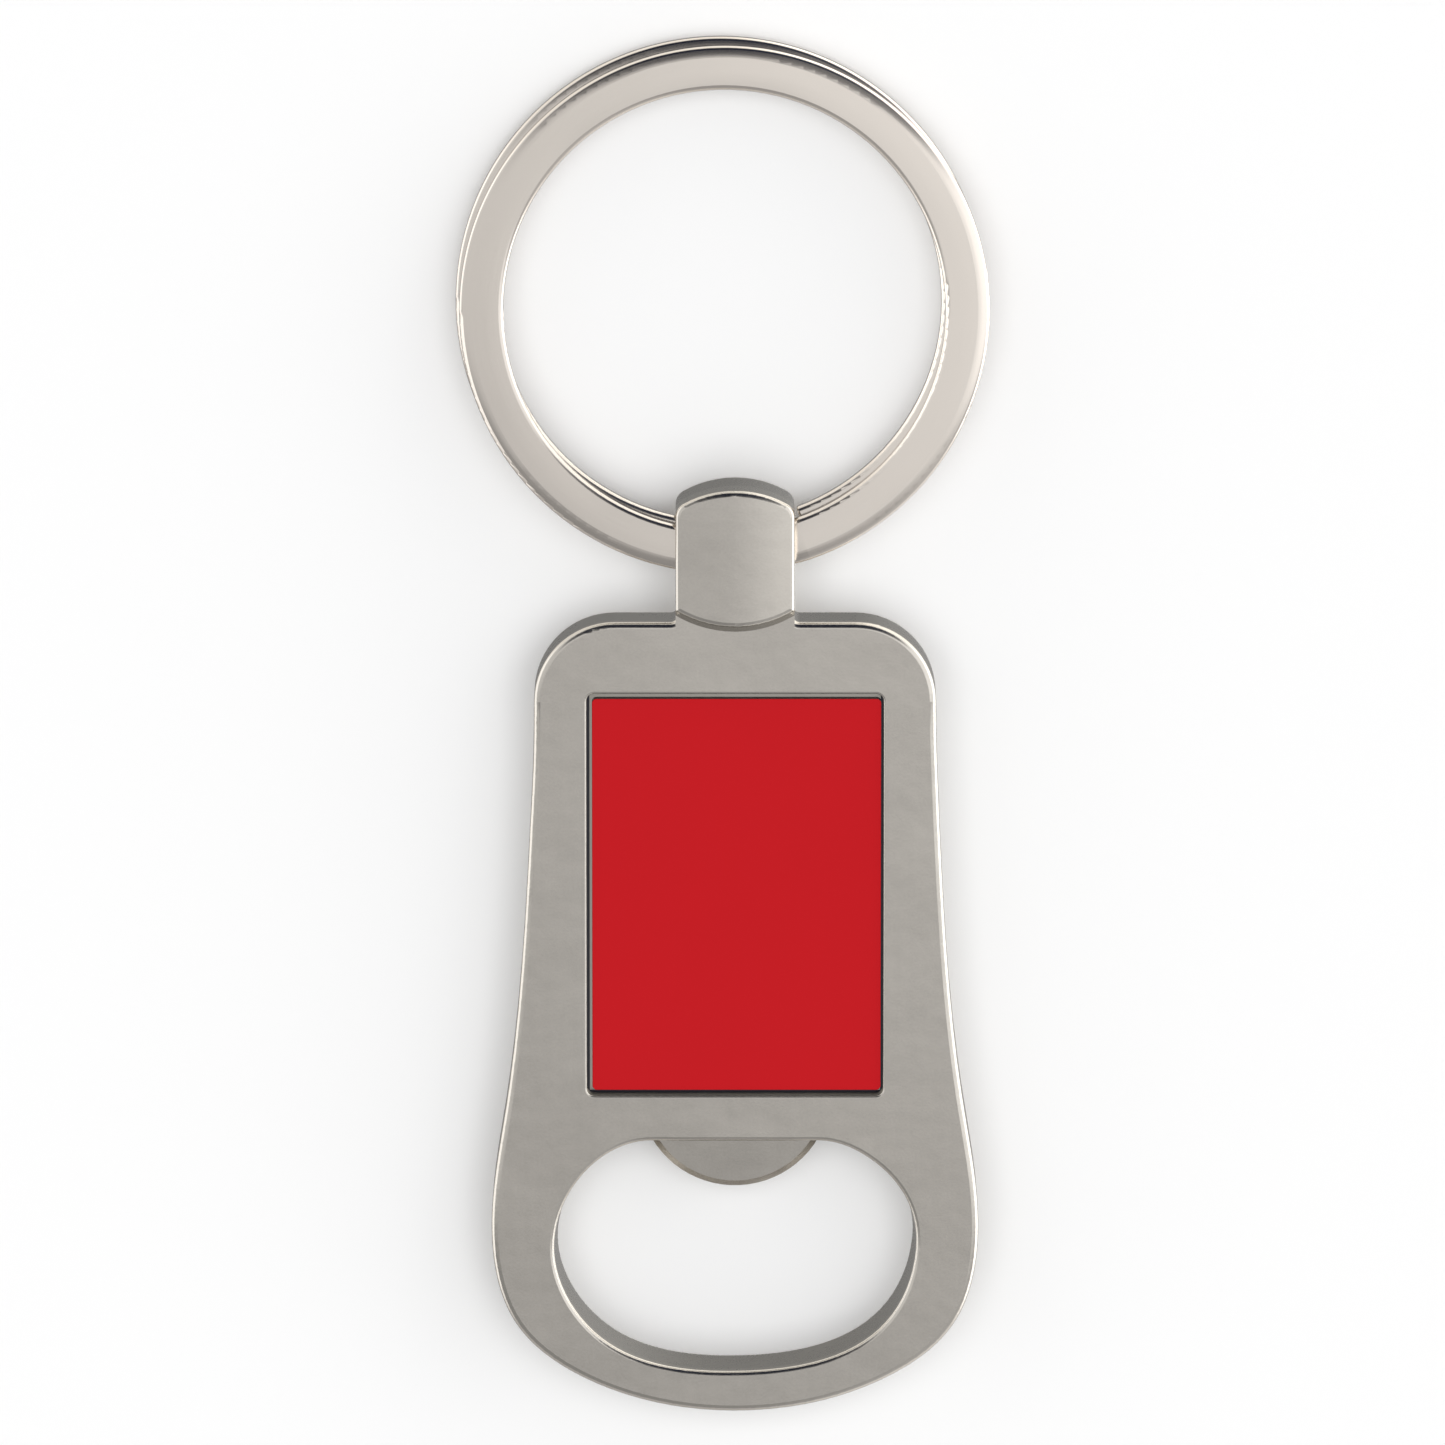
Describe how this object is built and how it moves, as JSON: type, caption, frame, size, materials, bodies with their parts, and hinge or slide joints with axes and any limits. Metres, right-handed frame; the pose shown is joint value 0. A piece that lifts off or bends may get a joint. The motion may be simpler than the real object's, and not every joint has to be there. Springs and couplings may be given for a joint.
{
  "type": "keychain bottle opener",
  "caption": "Flat waisted keychain bottle opener with a rounded cap opening, round lifting tooth, red rectangular insert, eye lug and split ring.",
  "frame": {"origin": "on the flat back of the casting, on the centreline, under the centre of the insert recess", "axes": "+X across the width, +Y along the length from the cap opening to the split ring, +Z out of the front face with the insert; the opener lies on its back"},
  "size_m": [0.0349, 0.0913, 0.006],
  "materials": {
    "nickel_casting": "satin pearl nickel plate on a zinc casting",
    "red_insert": "flat satin red coating on a thin aluminium plate",
    "adhesive": "double-sided film",
    "nickel_wire": "bright nickel plate on spring steel wire"
  },
  "bodies": {
    "opener": {"opener_body": "nickel_casting", "insert_plate": "red_insert", "insert_adhesive": "adhesive"},
    "ring": {"split_ring": "nickel_wire"}
  },
  "joints": [
    {"name": "ring_swing", "type": "hinge", "parent": "opener", "child": "ring", "pos_m": [0, 0.0232, 0.003], "axis": [1, 0, 0], "range_deg": [-130, 150]}
  ]
}
